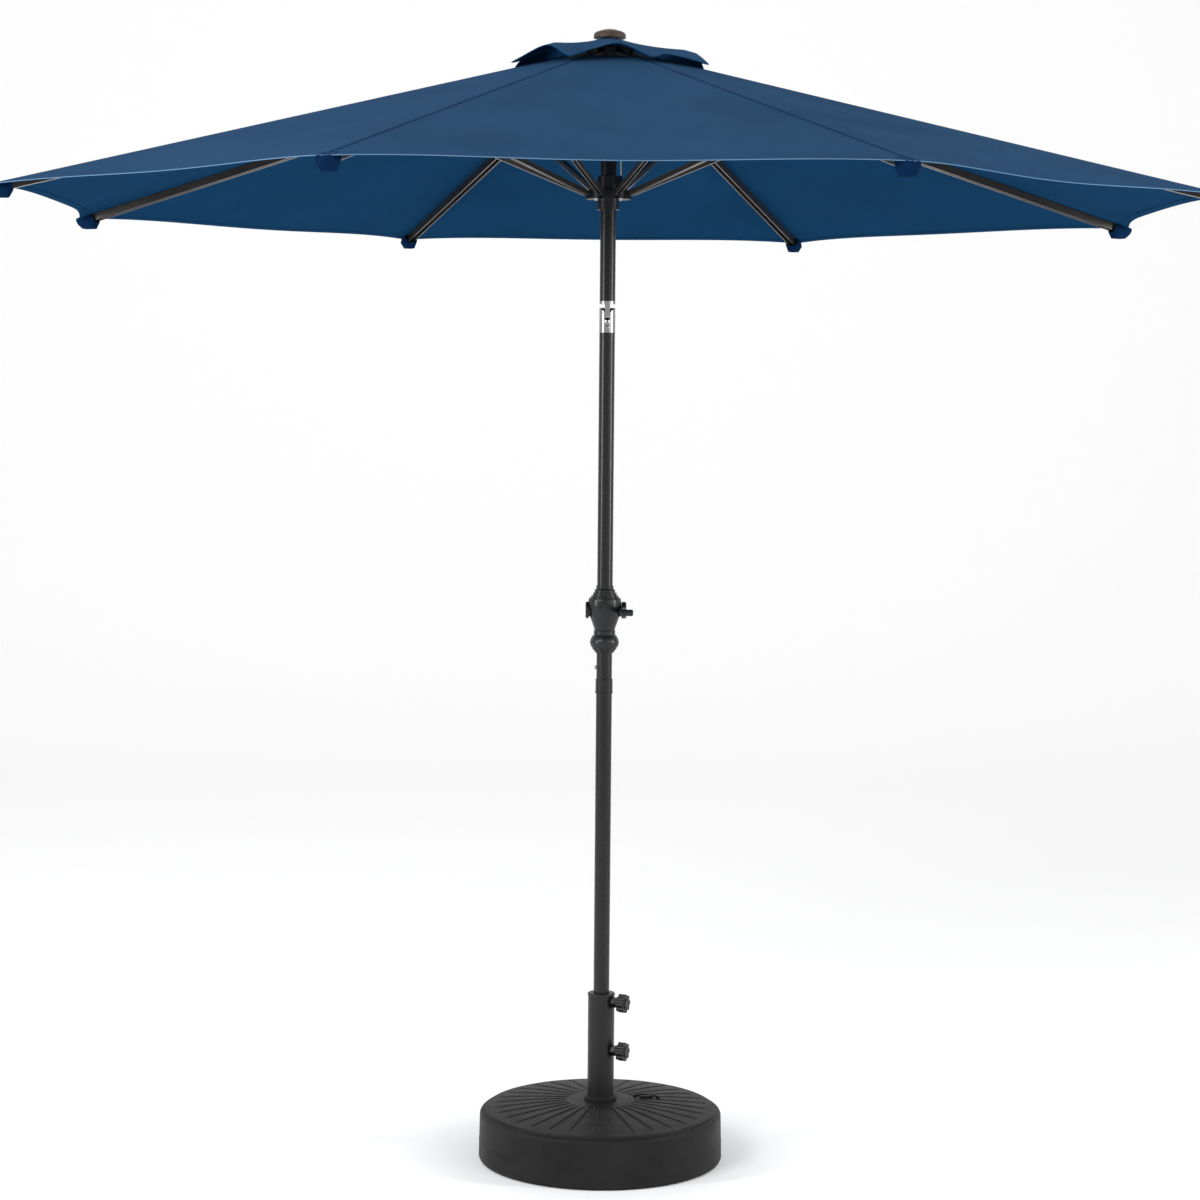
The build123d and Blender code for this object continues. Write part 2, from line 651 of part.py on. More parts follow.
TILT_BUTTON_BACK = -3.0
with BuildPart() as tilt_button:
    with BuildSketch(Plane(origin=(0, TILT_BUTTON_BACK, TILT_BUTTON_Z), z_dir=(0, -1, 0))):
        Circle(4 - RUN_FIT)
    extrude(amount=16)
    fillet(tilt_button.edges().group_by(Axis.Y)[0], radius=1.5)
    with BuildSketch(Plane.XY.offset(TILT_BUTTON_Z)):
        with Locations((0, -8.5)):
            Rectangle(5, 4)
    extrude(amount=13.5)
save(tilt_button.part, "tilt_button")

with BuildPart() as tilt_spring:
    with BuildLine():
        coil = Helix(1.8, 9, 2.9, center=(0, 6.4, TILT_BUTTON_Z), direction=(0, -1, 0))
    with BuildSketch(Plane(origin=coil @ 0, z_dir=coil % 0)):
        Circle(0.4)
    sweep(path=coil, is_frenet=True)
save(tilt_spring.part, "tilt_spring")

POLE_TOP_Z = 2340.0
with BuildPart() as upper_pole:
    tube(POLE_RADIUS, POLE_BORE_RADIUS, TILT_TOP_Z, POLE_TOP_Z)
save(upper_pole.part, "upper_pole")

# ================================================================ top hub
HUB_FOOT_Z = 2342.0
SLEEVE_FOOT_Z = 2312.0
SLEEVE_RADIUS = 23.0
HUB_SLOT_INNER = 26.0
HUB_SLOT_ROOF = HUB_TOP_Z - 3.0
HUB_SLOT_WIDTH = RIB_WIDTH + 0.8
HUB_PIN_HALF = 11.5


def radial_boxes(inner, outer, width, low, high):
    """Cut a box from inner to outer radius at every rib, in the builder that is open."""
    with BuildSketch(Plane.XY.offset(low)) as slots:
        with PolarLocations((inner + outer) / 2, RIB_COUNT, start_angle=RIB_AZIMUTH):
            Rectangle(outer - inner, width)
    extrude(slots.sketch, amount=high - low, mode=Mode.SUBTRACT)


def pin_planes(radius, height, half):
    """At every rib, a plane across the pivot's axis, at one end of its pin."""
    planes = []
    for index in range(RIB_COUNT):
        turn = radians(RIB_AZIMUTH + index * RIB_SPACING)
        across = Vector(-sin(turn), cos(turn), 0)
        centre = Vector(radius * cos(turn), radius * sin(turn), height)
        planes.append(Plane(origin=centre - across * half, z_dir=across))
    return planes


with BuildPart() as top_hub:
    with BuildSketch(Plane.XY.offset(HUB_FOOT_Z)):
        Circle(HUB_RADIUS)
    extrude(amount=HUB_TOP_Z - HUB_FOOT_Z)
    fillet(top_hub.edges().group_by(Axis.Z)[-1], radius=2)
    with BuildSketch(Plane.XY.offset(SLEEVE_FOOT_Z)):
        Circle(SLEEVE_RADIUS)
    extrude(amount=HUB_FOOT_Z - SLEEVE_FOOT_Z)
    with BuildSketch(Plane.XY.offset(HUB_TOP_Z)):
        Circle(8)
    extrude(amount=BOSS_TOP_Z - HUB_TOP_Z)
    radial_boxes(HUB_SLOT_INNER, HUB_RADIUS + 5, HUB_SLOT_WIDTH, HUB_FOOT_Z - 1, HUB_SLOT_ROOF)
    bore(POLE_RADIUS + SEAT_FIT, SLEEVE_FOOT_Z - 1, POLE_TOP_Z)
    bore(5 + SEAT_FIT, HUB_TOP_Z - 1, BOSS_TOP_Z + 1)
    # the pulley's pocket is open to the pole inside and to a groove outside
    with BuildSketch(Plane.XZ):
        with Locations((PULLEY_X, (PULLEY_Z + 12 + POLE_TOP_Z - 2) / 2)):
            Rectangle(24, PULLEY_Z + 12 - POLE_TOP_Z + 2)
        with Locations((PULLEY_X + PULLEY_PITCH + 1.5, (PULLEY_Z + SLEEVE_FOOT_Z - 1) / 2)):
            Rectangle(7, PULLEY_Z - SLEEVE_FOOT_Z + 1)
    extrude(amount=2.9, both=True, mode=Mode.SUBTRACT)
    with BuildSketch(Plane(origin=(PULLEY_X, -9, PULLEY_Z), z_dir=(0, 1, 0))):
        Circle(PIN_RADIUS + SEAT_FIT)
    extrude(amount=18, mode=Mode.SUBTRACT)
    with BuildSketch(*pin_planes(RIB_PIVOT_RADIUS, RIB_PIVOT_Z, HUB_PIN_HALF)):
        Circle(PIN_RADIUS + SEAT_FIT)
    extrude(amount=2 * HUB_PIN_HALF, mode=Mode.SUBTRACT)
save(top_hub.part, "top_hub")

with BuildPart() as hub_pins:
    with BuildSketch(*pin_planes(RIB_PIVOT_RADIUS, RIB_PIVOT_Z, HUB_PIN_HALF - 0.1)):
        Circle(PIN_RADIUS)
    extrude(amount=2 * HUB_PIN_HALF - 0.2)
    # the pulley's pin
    with BuildSketch(Plane(origin=(PULLEY_X, -8.9, PULLEY_Z), z_dir=(0, 1, 0))):
        Circle(PIN_RADIUS)
    extrude(amount=17.8)
save(hub_pins.part, "hub_pins")

with BuildPart() as cord_pulley:
    groove = PULLEY_PITCH - CORD_RADIUS - 0.1
    with BuildSketch(Plane.XY.offset(PULLEY_Z)):
        with BuildLine():
            Polyline(
                (PULLEY_X + PIN_RADIUS + RUN_FIT, -2.5),
                (PULLEY_X + PULLEY_PITCH + 1.8, -2.5),
                (PULLEY_X + groove, -1.7),
                (PULLEY_X + groove, 1.7),
                (PULLEY_X + PULLEY_PITCH + 1.8, 2.5),
                (PULLEY_X + PIN_RADIUS + RUN_FIT, 2.5),
                close=True,
            )
        make_face()
    revolve(axis=Axis((PULLEY_X, 0, PULLEY_Z), (0, 1, 0)))
save(cord_pulley.part, "cord_pulley")

FINIAL_FOOT_Z = BOSS_TOP_Z + 6.0
FINIAL_EDGE = 4.0
with BuildPart() as finial:
    with BuildSketch(Plane.XZ):
        with BuildLine():
            Polyline(
                (0, FINIAL_TOP_Z),
                (0, HUB_TOP_Z - 1),
                (5, HUB_TOP_Z - 1),
                (5, FINIAL_FOOT_Z),
                (FINIAL_RADIUS, FINIAL_FOOT_Z),
                (FINIAL_RADIUS, FINIAL_FOOT_Z + FINIAL_EDGE),
            )
            Spline(
                (FINIAL_RADIUS, FINIAL_FOOT_Z + FINIAL_EDGE),
                (FINIAL_RADIUS * 0.7, FINIAL_TOP_Z - 4.5),
                (0, FINIAL_TOP_Z),
                tangents=((0, 1), (-1, 0)),
            )
        make_face()
    revolve(axis=Axis.Z)
save(finial.part, "finial")

# ================================================================ runner
RUNNER_FOOT_Z = 2034.0
RUNNER_TOP_Z = 2105.0
RUNNER_BORE = 20.0
RUNNER_SLEEVE = 23.0
RUNNER_SLOT_NEAR = 31.5
RUNNER_FLANGE = 48.0
RUNNER_FLANGE_HALF = 9.0
RUNNER_SCALLOP = 6.0      # radius of the notches between the ears
RUNNER_LUG_REACH = 29.5   # the lug that holds the cord ends this far from the axis
RUNNER_LUG_WIDTH = 8.0
RUNNER_LUG_HEIGHT = 20.0
RUNNER_SLOT_WIDTH = STRUT_WIDTH + 0.8
RUNNER_PIN_HALF = 9.0
CORD_ANCHOR_X = 26.0
with BuildPart() as runner:
    tube(RUNNER_SLEEVE, RUNNER_BORE, RUNNER_FOOT_Z, RUNNER_TOP_Z)
    fillet(runner.edges().group_by(Axis.Z)[-1].sort_by(SortBy.RADIUS)[-1], radius=1.5)
    with BuildSketch(Plane.XY.offset(RUNNER_TOP_Z - RUNNER_LUG_HEIGHT)):
        with Locations(((RUNNER_BORE + 1 + RUNNER_LUG_REACH) / 2, 0)):
            Rectangle(RUNNER_LUG_REACH - RUNNER_BORE - 1, RUNNER_LUG_WIDTH)
    extrude(amount=RUNNER_LUG_HEIGHT)
    with BuildSketch(Plane.XY.offset(RUNNER_PIVOT_Z - RUNNER_FLANGE_HALF)):
        Circle(RUNNER_FLANGE)
        Circle(RUNNER_SLEEVE - 1, mode=Mode.SUBTRACT)
        with PolarLocations(RUNNER_FLANGE, RIB_COUNT):
            Circle(RUNNER_SCALLOP, mode=Mode.SUBTRACT)
    extrude(amount=2 * RUNNER_FLANGE_HALF)
    radial_boxes(
        RUNNER_SLOT_NEAR,
        RUNNER_FLANGE + 5,
        RUNNER_SLOT_WIDTH,
        RUNNER_PIVOT_Z - RUNNER_FLANGE_HALF - 1,
        RUNNER_PIVOT_Z + RUNNER_FLANGE_HALF + 1,
    )
    # each pin's seat is open downward
    with BuildSketch(*pin_planes(RUNNER_PIVOT_RADIUS, RUNNER_PIVOT_Z, RUNNER_PIN_HALF + 0.3)):
        Circle(PIN_RADIUS + RUN_FIT)
    extrude(amount=2 * (RUNNER_PIN_HALF + 0.3), mode=Mode.SUBTRACT)
    with BuildSketch(Plane.XY.offset(RUNNER_PIVOT_Z - RUNNER_FLANGE_HALF - 1)):
        with PolarLocations(RUNNER_PIVOT_RADIUS, RIB_COUNT, start_angle=RIB_AZIMUTH):
            Rectangle(2 * (PIN_RADIUS + RUN_FIT), 2 * (RUNNER_PIN_HALF + 0.3))
    extrude(amount=RUNNER_FLANGE_HALF + 1, mode=Mode.SUBTRACT)
    # the lift cord's hole
    bore(CORD_RADIUS + 0.1, RUNNER_TOP_Z - 12, RUNNER_TOP_Z + 1, CORD_ANCHOR_X, 0)
save(runner.part, "runner")

# ================================================================ lift cord
# wound on the spool, up inside the pole, over the pulley and down to the runner
cord_route = [
    (0, CORD_BACK, CRANK_Z),
    (0, CORD_BACK, 1890),
    (PULLEY_X - PULLEY_PITCH, 0, 2325),
    (PULLEY_X - PULLEY_PITCH, 0, PULLEY_Z + PULLEY_PITCH),
    (PULLEY_X + PULLEY_PITCH, 0, PULLEY_Z + PULLEY_PITCH),
    (PULLEY_X + PULLEY_PITCH, 0, 2318),
    (CORD_ANCHOR_X, 0, RUNNER_TOP_Z + 2),
    (CORD_ANCHOR_X, 0, RUNNER_TOP_Z - 10),
]
with BuildPart() as lift_cord:
    with BuildLine() as cord_line:
        FilletPolyline(*cord_route, radius=PULLEY_PITCH - 0.05)
    with BuildSketch(Plane(origin=cord_route[0], z_dir=(0, 0, 1))):
        Circle(CORD_RADIUS)
    sweep(path=cord_line.line)
    with BuildSketch(Plane.YZ.offset(1.3 - SPOOL_HALF)):
        with Locations((0, CRANK_Z)):
            Circle(SPOOL_WIND_RADIUS + CORD_RADIUS)
            Circle(SPOOL_WIND_RADIUS - CORD_RADIUS, mode=Mode.SUBTRACT)
    extrude(amount=2 * SPOOL_HALF - 2.6)
save(lift_cord.part, "lift_cord")

# ================================================================ ribs and struts
# each is made once, on +X, and turned to its place
RIB_END_BACK = 6.0
RIB_PLANE = side_plane(RIB_PIVOT_RADIUS, RIB_PIVOT_Z, -RIB_SLOPE)
STRUT_PLANE = side_plane(RUNNER_PIVOT_RADIUS, RUNNER_PIVOT_Z, STRUT_ANGLE)


def channel(plane, start, end, top, depth, width, wall):
    """A channel open downward along the plane's x, made in the builder that is open."""
    for half, cut, mode in (
        (width / 2, 0, Mode.ADD),
        (width / 2 - wall, wall, Mode.SUBTRACT),
    ):
        with BuildSketch(plane) as side:
            with Locations(((start + end) / 2, top - depth / 2 - cut)):
                Rectangle(end - start + 2 * cut, depth)
        extrude(side.sketch, amount=half, both=True, mode=mode)


def cross_hole(plane, x, y, radius):
    """Cut a hole across the plane at x, y in the builder that is open."""
    with BuildSketch(plane) as hole:
        with Locations((x, y)):
            Circle(radius)
    extrude(hole.sketch, amount=20, both=True, mode=Mode.SUBTRACT)


with BuildPart() as rib:
    channel(RIB_PLANE, -RIB_END_BACK, RIB_LENGTH, RIB_TOP, RIB_DEPTH, RIB_WIDTH, RIB_WALL)
    # the lower corner at the hub end is cut away, so that the rib can fold
    with BuildSketch(RIB_PLANE):
        with BuildLine():
            Polyline((-8, -2), (-8, -12), (4, -12), close=True)
        make_face()
    extrude(amount=20, both=True, mode=Mode.SUBTRACT)
    cross_hole(RIB_PLANE, 0, 0, PIN_RADIUS + RUN_FIT)
    cross_hole(RIB_PLANE, STRUT_ON_RIB, -STRUT_DROP, PIN_RADIUS + SEAT_FIT)

TIP_INSERT = 26.0
TIP_HEAD = 10.0
with BuildPart() as rib_tip:
    inside = RIB_WIDTH / 2 - RIB_WALL - 0.1
    with BuildSketch(RIB_PLANE):
        with Locations((RIB_LENGTH - TIP_INSERT / 2, -1)):
            Rectangle(TIP_INSERT, 11.5)
    extrude(amount=inside, both=True)
    with BuildSketch(RIB_PLANE):
        with Locations((RIB_LENGTH + TIP_HEAD / 2, RIB_TOP - RIB_DEPTH / 2)):
            Rectangle(TIP_HEAD, RIB_DEPTH)
    extrude(amount=RIB_WIDTH / 2, both=True)
    fillet(rib_tip.edges().group_by(Axis.X)[-1], radius=2)

with BuildPart() as strut_rivet:
    with BuildSketch(RIB_PLANE):
        with Locations((STRUT_ON_RIB, -STRUT_DROP)):
            Circle(PIN_RADIUS)
    extrude(amount=RIB_WIDTH / 2 + 1.2, both=True)
    for side in (-1, 1):
        with BuildSketch(RIB_PLANE.offset(side * (RIB_WIDTH / 2 + 0.05))):
            with Locations((STRUT_ON_RIB, -STRUT_DROP)):
                Circle(3.4)
        extrude(amount=side * 1.2)

with BuildPart() as strut:
    channel(STRUT_PLANE, -5, STRUT_LENGTH + 5, STRUT_DEPTH / 2, STRUT_DEPTH, STRUT_WIDTH, RIB_WALL)
    cross_hole(STRUT_PLANE, 0, 0, PIN_RADIUS + SEAT_FIT)
    cross_hole(STRUT_PLANE, STRUT_LENGTH, 0, PIN_RADIUS + RUN_FIT)

with BuildPart() as strut_pin:
    with BuildSketch(STRUT_PLANE):
        Circle(PIN_RADIUS)
    extrude(amount=RUNNER_PIN_HALF, both=True)

# ================================================================ cloth
# one panel spans two ribs; each gore is the two half-panels that hang on one rib
panel_fall = atan(tan(SLOPE) / cos(HALF_SPACING))
TIP_ALONG = CANOPY_RADIUS * cos(HALF_SPACING) / cos(panel_fall)
TIP_ACROSS = CANOPY_RADIUS * sin(HALF_SPACING)
VENT_ALONG = CANOPY_VENT_RADIUS * cos(HALF_SPACING) / cos(panel_fall)
VENT_ACROSS = CANOPY_VENT_RADIUS * sin(HALF_SPACING)
HEM_RADIUS = (TIP_ACROSS**2 + HEM_SAG**2) / (2 * HEM_SAG)
GORE_GAP = 0.2

with BuildPart() as gore:
    for side in (-1, 1):
        middle = side * HALF_SPACING
        panel = Plane(
            origin=(0, 0, CANOPY_APEX_Z),
            x_dir=(cos(middle) * cos(panel_fall), sin(middle) * cos(panel_fall), -sin(panel_fall)),
            z_dir=(cos(middle) * sin(panel_fall), sin(middle) * sin(panel_fall), cos(panel_fall)),
        )
        with BuildSketch(panel, mode=Mode.PRIVATE) as half_panel:
            with BuildLine():
                Line((VENT_ALONG, -side * GORE_GAP), (VENT_ALONG, -side * VENT_ACROSS))
                Line((VENT_ALONG, -side * VENT_ACROSS), (TIP_ALONG, -side * TIP_ACROSS))
                RadiusArc(
                    (TIP_ALONG, -side * TIP_ACROSS),
                    (TIP_ALONG - HEM_SAG, -side * GORE_GAP),
                    side * HEM_RADIUS,
                )
                Line((TIP_ALONG - HEM_SAG, -side * GORE_GAP), (VENT_ALONG, -side * GORE_GAP))
            make_face()
        extrude(half_panel.sketch, amount=CANOPY_THICKNESS, dir=(0, 0, 1))

for index in range(RIB_COUNT):
    turn = RIB_AZIMUTH + index * RIB_SPACING
    rib_set = [piece.part.rotate(Axis.Z, turn) for piece in (rib, rib_tip, strut_rivet)]
    strut_set = [piece.part.rotate(Axis.Z, turn) for piece in (strut, strut_pin)]
    save(Compound(children=rib_set), f"rib_{index + 1}")
    save(Compound(children=strut_set), f"strut_{index + 1}")
    save(gore.part.rotate(Axis.Z, turn), f"canopy_gore_{index + 1}")

# the second tier lies on the ribs' seams and arches up between them
VENT_CORNER_Z = CANOPY_APEX_Z - VENT_RADIUS * tan(SLOPE) + CANOPY_THICKNESS + 0.5
VENT_CENTRE_Z = BOSS_TOP_Z + 4.3
VENT_THICKNESS = 1.0
with BuildPart() as vent_canopy:
    for index in range(2 * RIB_COUNT):
        on_rib = index % 2 == 0
        points = []
        for step, corner in ((0, on_rib), (1, not on_rib)):
            turn = radians(RIB_AZIMUTH + (index + step) * RIB_SPACING / 2)
            reach = VENT_RADIUS if corner else VENT_EDGE_RADIUS
            level = VENT_CORNER_Z if corner else VENT_EDGE_Z
            points.append((reach * cos(turn), reach * sin(turn), level))
        outline = Wire.make_polygon([(0, 0, VENT_CENTRE_Z), *points])
        extrude(Face(outline), amount=VENT_THICKNESS, dir=(0, 0, 1))
    bore(5.3, BOSS_TOP_Z, BOSS_TOP_Z + 10)
save(vent_canopy.part, "vent_canopy")
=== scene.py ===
import json
import random
from math import atan, cos, hypot, pi, radians, sin, tan

import bpy
from mathutils import Euler, Matrix, Vector


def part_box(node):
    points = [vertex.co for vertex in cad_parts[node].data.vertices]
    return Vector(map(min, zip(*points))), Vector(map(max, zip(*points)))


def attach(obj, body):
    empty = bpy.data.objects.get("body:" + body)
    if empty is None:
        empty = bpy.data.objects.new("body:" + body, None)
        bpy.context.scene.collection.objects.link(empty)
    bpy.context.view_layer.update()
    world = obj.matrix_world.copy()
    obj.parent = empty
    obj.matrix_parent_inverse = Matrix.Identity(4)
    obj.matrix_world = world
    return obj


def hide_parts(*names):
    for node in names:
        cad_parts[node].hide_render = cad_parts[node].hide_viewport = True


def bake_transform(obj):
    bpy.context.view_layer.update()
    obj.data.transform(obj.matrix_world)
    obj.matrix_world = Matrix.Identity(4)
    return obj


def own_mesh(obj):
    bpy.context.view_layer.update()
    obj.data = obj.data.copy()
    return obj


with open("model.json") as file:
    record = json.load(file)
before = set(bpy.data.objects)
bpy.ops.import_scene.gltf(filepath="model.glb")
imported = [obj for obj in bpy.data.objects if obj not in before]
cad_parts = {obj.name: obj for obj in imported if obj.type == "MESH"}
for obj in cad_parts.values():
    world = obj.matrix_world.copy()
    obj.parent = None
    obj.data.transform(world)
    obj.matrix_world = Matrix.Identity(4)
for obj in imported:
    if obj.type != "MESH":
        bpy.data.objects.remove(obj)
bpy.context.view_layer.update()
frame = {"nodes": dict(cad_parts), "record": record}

# Market umbrella with its base: cloth, cord and finishes round the CAD frame.
# Metres; the front of the umbrella faces -Y.

# ---------------------------------------------------------------- camera
CAMERA_DISTANCE = 5.856
CAMERA_HEIGHT = 1.631
CAMERA_ASIDE = -0.0814
CAMERA_DOWN = radians(4.128)
CAMERA_ROLL = radians(0.5)
CAMERA_TURN = radians(-0.696)
CAMERA_LENS = 82.6
SENSOR = 36.0

camera_data = bpy.data.cameras.new("camera")
camera_data.lens = CAMERA_LENS
camera_data.sensor_width = SENSOR
camera = bpy.data.objects.new("camera", camera_data)
bpy.context.scene.collection.objects.link(camera)
look = Euler((pi / 2 - CAMERA_DOWN, 0, CAMERA_TURN)).to_matrix() @ Matrix.Rotation(
    CAMERA_ROLL, 3, "Z"
)
camera.matrix_world = Matrix.Translation(
    (CAMERA_ASIDE, -CAMERA_DISTANCE, CAMERA_HEIGHT)
) @ look.to_4x4()
bpy.context.scene.camera = camera
bpy.context.scene.view_settings.view_transform = "Standard"


# ---------------------------------------------------------------- floor and light
def area_light(name, place, aim, size, power):
    """A soft square light at place, pointing at aim."""
    data = bpy.data.lights.new(name, "AREA")
    data.shape = "SQUARE"
    data.size = size
    data.energy = power
    light = bpy.data.objects.new(name, data)
    bpy.context.scene.collection.objects.link(light)
    light.location = place
    light.rotation_euler = (Vector(aim) - Vector(place)).to_track_quat("-Z", "Y").to_euler()
    return light


def studio():
    """A white floor that curves up behind, a white surround and four soft lights."""
    depth, radius, height, half = 9.0, 3.0, 9.0, 14.0
    profile = [(-12.0, 0.0), (depth - radius, 0.0)]
    steps = 12
    for i in range(1, steps + 1):
        turn = i / steps * pi / 2
        profile.append((depth - radius + radius * sin(turn), radius - radius * cos(turn)))
    profile.append((depth, height))
    verts = [(side * half, y, z) for y, z in profile for side in (-1, 1)]
    faces = [(2 * i, 2 * i + 1, 2 * i + 3, 2 * i + 2) for i in range(len(profile) - 1)]
    mesh = bpy.data.meshes.new("floor")
    mesh.from_pydata(verts, [], faces)
    floor = bpy.data.objects.new("floor", mesh)
    bpy.context.scene.collection.objects.link(floor)
    paint = bpy.data.materials.new("floor")
    paint.use_nodes = True
    shader = paint.node_tree.nodes["Principled BSDF"]
    shader.inputs["Base Color"].default_value = (0.94, 0.94, 0.94, 1)
    shader.inputs["Roughness"].default_value = 0.8
    mesh.materials.append(paint)
    for face in mesh.polygons:
        face.use_smooth = True
    world = bpy.data.worlds.new("surround")
    world.use_nodes = True
    background = world.node_tree.nodes["Background"]
    background.inputs["Color"].default_value = (1, 1, 1, 1)
    background.inputs["Strength"].default_value = 0.9
    bpy.context.scene.world = world
    area_light("key", (-3.6, -4.2, 4.6), (0, 0, 1.6), 2.4, 150)
    area_light("fill", (4.2, -4.0, 3.0), (0, 0, 1.2), 3.0, 50)
    # two tall strips draw the bright lines down the pole
    for name, x, y, power in (("left_strip", -3.4, -1.6, 55), ("right_strip", 3.4, -1.0, 55)):
        strip = area_light(name, (x, y, 1.9), (0, 0, 1.75), 0.3, power)
        strip.data.shape = "RECTANGLE"
        strip.data.size_y = 1.8


studio()


# ---------------------------------------------------------------- materials
class Recipe:
    """One procedural material: a Principled shader with its texture nodes."""

    def __init__(self, name, color, roughness, metallic=0.0):
        self.material = bpy.data.materials.new(name)
        self.material.use_nodes = True
        self.tree = self.material.node_tree
        self.shader = self.tree.nodes["Principled BSDF"]
        self.shader.inputs["Base Color"].default_value = (*color, 1)
        self.shader.inputs["Roughness"].default_value = roughness
        self.shader.inputs["Metallic"].default_value = metallic
        self.color = color
        self.height = None
        self.place = self.node("ShaderNodeTexCoord").outputs["Object"]

    def node(self, kind, **values):
        made = self.tree.nodes.new(kind)
        for key, value in values.items():
            if key in made.inputs:
                made.inputs[key].default_value = value
            else:
                setattr(made, key, value)
        return made

    def link(self, start, end):
        self.tree.links.new(start, end)

    def set(self, **values):
        for key, value in values.items():
            self.shader.inputs[key.replace("_", " ")].default_value = value
        return self

    def noise(self, scale, detail=3.0, stretch=(1, 1, 1)):
        mapping = self.node("ShaderNodeMapping")
        mapping.inputs["Scale"].default_value = stretch
        self.link(self.place, mapping.inputs["Vector"])
        texture = self.node("ShaderNodeTexNoise")
        texture.inputs["Scale"].default_value = scale
        texture.inputs["Detail"].default_value = detail
        self.link(mapping.outputs["Vector"], texture.inputs["Vector"])
        return texture.outputs["Fac"]

    def wave(self, scale, direction):
        texture = self.node("ShaderNodeTexWave", bands_direction=direction)
        texture.inputs["Scale"].default_value = scale
        texture.inputs["Distortion"].default_value = 0.4
        self.link(self.place, texture.inputs["Vector"])
        return texture.outputs["Fac"]

    def vary_color(self, source, low, high):
        ramp = self.node("ShaderNodeValToRGB")
        ramp.color_ramp.elements[0].position = 0.3
        ramp.color_ramp.elements[1].position = 0.7
        ramp.color_ramp.elements[0].color = (*(c * low for c in self.color), 1)
        ramp.color_ramp.elements[1].color = (*(c * high for c in self.color), 1)
        self.link(source, ramp.inputs["Fac"])
        self.link(ramp.outputs["Color"], self.shader.inputs["Base Color"])
        return self

    def vary_roughness(self, source, low, high):
        spread = self.node("ShaderNodeMapRange")
        spread.inputs["To Min"].default_value = low
        spread.inputs["To Max"].default_value = high
        self.link(source, spread.inputs["Value"])
        self.link(spread.outputs["Result"], self.shader.inputs["Roughness"])
        return self

    def bump(self, source, distance, strength=0.5):
        node = self.node("ShaderNodeBump")
        node.inputs["Strength"].default_value = strength
        node.inputs["Distance"].default_value = distance
        self.link(source, node.inputs["Height"])
        if self.height is not None:
            self.link(self.height, node.inputs["Normal"])
        self.height = node.outputs["Normal"]
        self.link(self.height, self.shader.inputs["Normal"])
        return self


def cloth(name, color, rough, sheen=0.0, weave=420.0):
    """Woven polyester: two crossing sets of threads, faint creases and a sheen of the given
    weight.
    """
    recipe = Recipe(name, color, rough)
    recipe.vary_color(recipe.noise(3.5, 4.0), 0.9, 1.1)
    recipe.bump(recipe.noise(5.0, 3.0), 0.004, 0.35)
    recipe.bump(recipe.wave(weave, "X"), 0.00025, 0.35)
    recipe.bump(recipe.wave(weave, "Y"), 0.00025, 0.35)
    recipe.set(Sheen_Weight=sheen, Sheen_Roughness=0.5, Specular_IOR_Level=0.2, IOR=1.05)
    return recipe.material


def coat(name, color, rough, metallic=0.0):
    """Satin powder coat with a fine orange-peel skin."""
    recipe = Recipe(name, color, rough, metallic)
    recipe.vary_color(recipe.noise(9.0, 3.0), 0.85, 1.15)
    recipe.vary_roughness(recipe.noise(60.0, 4.0), rough - 0.06, rough + 0.08)
    recipe.bump(recipe.noise(900.0, 2.0), 0.0002, 0.25)
    recipe.set(Specular_IOR_Level=0.36)
    return recipe.material


def plastic(name, color, rough, grain=1400.0, depth=0.0003, gloss=0.3):
    """Moulded plastic with a fine pebble grain and faint flow marks."""
    recipe = Recipe(name, color, rough)
    recipe.vary_color(recipe.noise(14.0, 5.0), 0.8, 1.25)
    recipe.vary_roughness(recipe.noise(35.0, 5.0), rough - 0.07, rough + 0.1)
    recipe.bump(recipe.noise(grain, 2.0), depth, 0.4)
    recipe.set(Specular_IOR_Level=gloss)
    return recipe.material


def metal(name, color, rough, stretch=(1, 1, 40)):
    """Plated steel with drawn brush lines."""
    recipe = Recipe(name, color, rough, 1.0)
    recipe.vary_roughness(recipe.noise(160.0, 3.0, stretch), rough - 0.07, rough + 0.12)
    recipe.bump(recipe.noise(300.0, 2.0, stretch), 0.0001, 0.2)
    return recipe.material


CLOTH_OUT = cloth("canopy_outside", (0.0208, 0.059, 0.125), 0.8)
# the same cloth's underside in a deeper blue: painted light shining through the thin cloth
CLOTH_IN_PAINTED_LIGHT = cloth("canopy_inside_painted_light", (0.006, 0.039, 0.098), 0.9)
# a much darker blue of the same cloth: painted shade for the seams over the ribs and the pockets
# under the tips
CLOTH_TRIM_PAINTED_SHADE = cloth("canopy_trim_painted_shade", (0.003, 0.016, 0.05), 0.85)
# a light blue that paints the highlight along the folded edge of the hem
CLOTH_EDGE_HIGHLIGHT = cloth("canopy_edge_painted_highlight", (0.12, 0.22, 0.34), 0.8)
POLE_COAT = coat("pole_coat", (0.0034, 0.0034, 0.0036), 0.26)
FRAME_COAT = coat("frame_coat", (0.05, 0.044, 0.04), 0.34, 0.6)
TUBE_COAT = coat("tube_coat", (0.003, 0.003, 0.0031), 0.36)
DARK_PLASTIC = plastic("dark_plastic", (0.008, 0.0085, 0.0095), 0.26, 1400.0, 0.0001)
BASE_PLASTIC = plastic("base_plastic", (0.0105, 0.0105, 0.0107), 0.5, 520.0, 0.0008, 0.13)
KNOB_PLASTIC = plastic("knob_plastic", (0.009, 0.009, 0.0095), 0.4)
